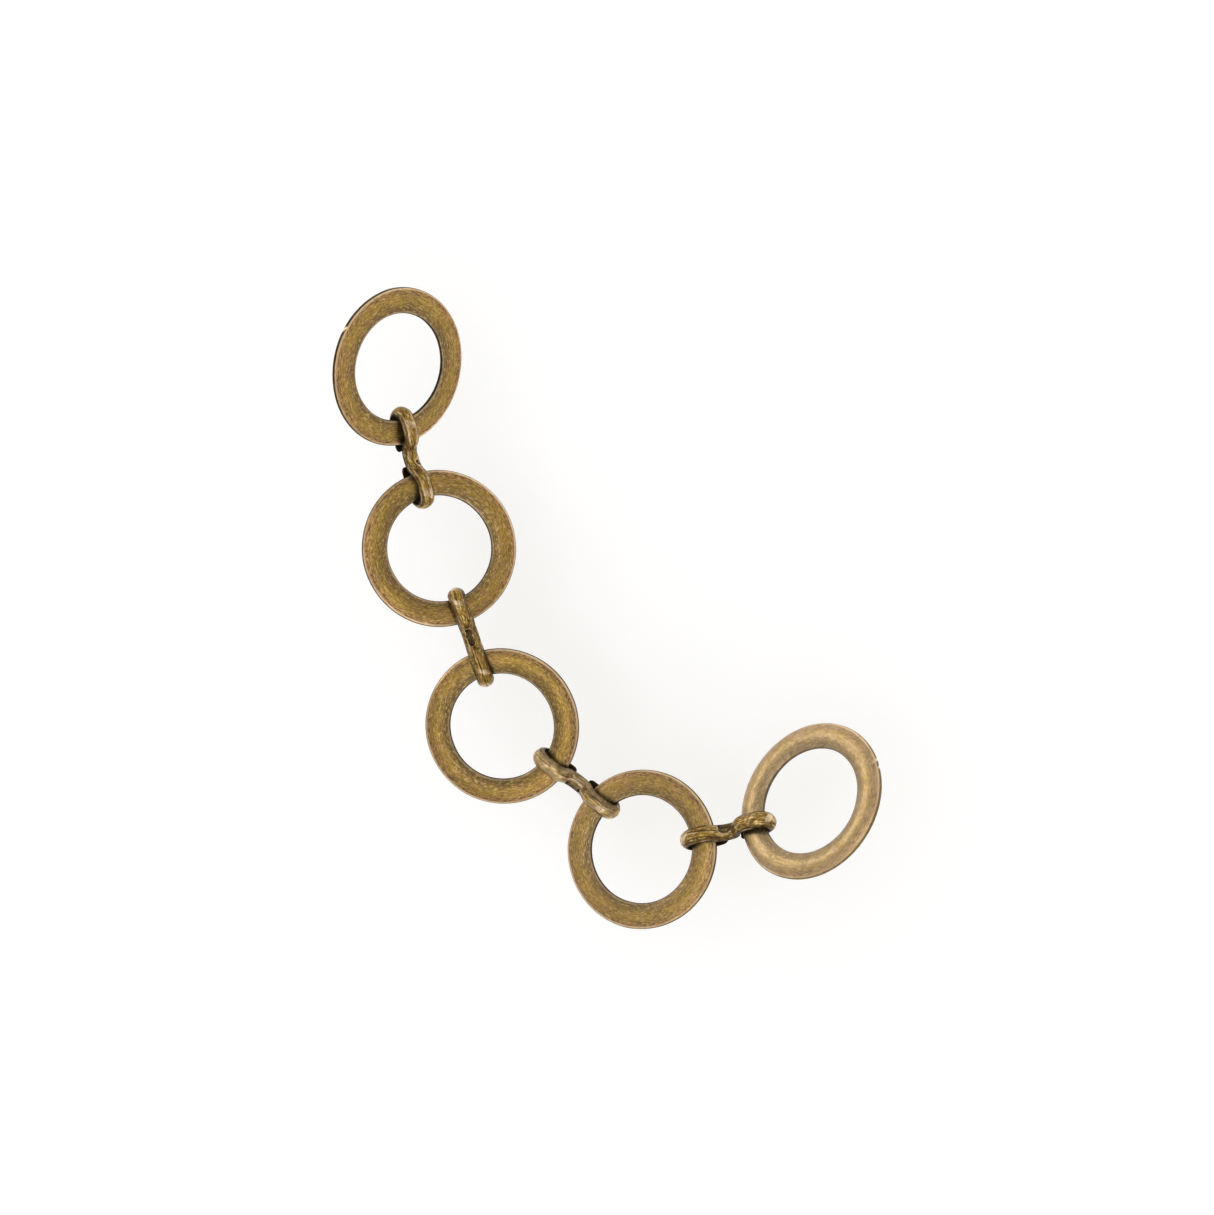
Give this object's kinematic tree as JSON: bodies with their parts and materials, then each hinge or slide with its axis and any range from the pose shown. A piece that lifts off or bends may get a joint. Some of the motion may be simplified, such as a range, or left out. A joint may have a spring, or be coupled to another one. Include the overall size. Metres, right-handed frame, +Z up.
{
  "type": "pocket watch chain",
  "caption": "Short pocket watch chain of large flat brass rings joined by pinched figure-eight wire wrap links, in aged antique finish.",
  "frame": {"origin": "on the surface the chain lies on, under the middle of its outline", "axes": "+Z up out of the surface, +Y along the chain's longer reach, from the lowest ring towards ring_1"},
  "size_m": [0.092, 0.113, 0.0284],
  "materials": {
    "aged_brass_ring": "antiqued, softly brushed round the ring, rubbed bright at the edges",
    "aged_brass_wire": "antiqued drawn wire with lengthwise die lines and dark recesses"
  },
  "bodies": {
    "ring_1": {"ring_1": "aged_brass_ring"},
    "ring_2": {"ring_2": "aged_brass_ring"},
    "ring_3": {"ring_3": "aged_brass_ring"},
    "ring_4": {"ring_4": "aged_brass_ring"},
    "ring_5": {"ring_5": "aged_brass_ring"},
    "wrap_link_1": {"wrap_link_1": "aged_brass_wire"},
    "wrap_link_2": {"wrap_link_2": "aged_brass_wire"},
    "wrap_link_3": {"wrap_link_3": "aged_brass_wire"},
    "wrap_link_4": {"wrap_link_4": "aged_brass_wire"}
  },
  "joints": [
    {"name": "wrap_link_2_round_ring_3", "type": "hinge", "parent": "ring_3", "child": "wrap_link_2", "pos_m": [-0.02444, -0.02132, 0.00606], "axis": [0.1874, 0, 0.9823], "range_deg": [-40, 40]},
    {"name": "ring_2_in_wrap_link_2", "type": "hinge", "parent": "wrap_link_2", "child": "ring_2", "pos_m": [-0.03105, -0.00048, 0.00732], "axis": [0.8818, 0.3017, -0.3625], "range_deg": [-4, 12]},
    {"name": "wrap_link_1_round_ring_2", "type": "hinge", "parent": "ring_2", "child": "wrap_link_1", "pos_m": [-0.03428, 0.01067, 0.00876], "axis": [0.5844, 0.0653, 0.8088], "range_deg": [-60, 60]},
    {"name": "ring_1_in_wrap_link_1", "type": "hinge", "parent": "wrap_link_1", "child": "ring_1", "pos_m": [-0.03901, 0.03178, 0.01192], "axis": [0.5357, 0.2416, -0.8091], "range_deg": [-6, 5]},
    {"name": "wrap_link_3_round_ring_3", "type": "hinge", "parent": "ring_3", "child": "wrap_link_3", "pos_m": [-0.02444, -0.02132, 0.00606], "axis": [0.1874, 0, 0.9823], "range_deg": [-40, 40]},
    {"name": "ring_4_in_wrap_link_3", "type": "hinge", "parent": "wrap_link_3", "child": "ring_4", "pos_m": [-0.00726, -0.03458, 0.00314], "axis": [-0.6161, -0.7855, -0.0593], "range_deg": [-4, 6]},
    {"name": "wrap_link_4_round_ring_4", "type": "hinge", "parent": "ring_4", "child": "wrap_link_4", "pos_m": [0.00096, -0.04269, 0.005], "axis": [-0.0307, 0.193, 0.9807], "range_deg": [-60, 45]},
    {"name": "ring_5_in_wrap_link_4", "type": "hinge", "parent": "wrap_link_4", "child": "ring_5", "pos_m": [0.02202, -0.03741, 0.00672], "axis": [0.19, -0.8917, 0.4108], "range_deg": [-4, 18]}
  ]
}
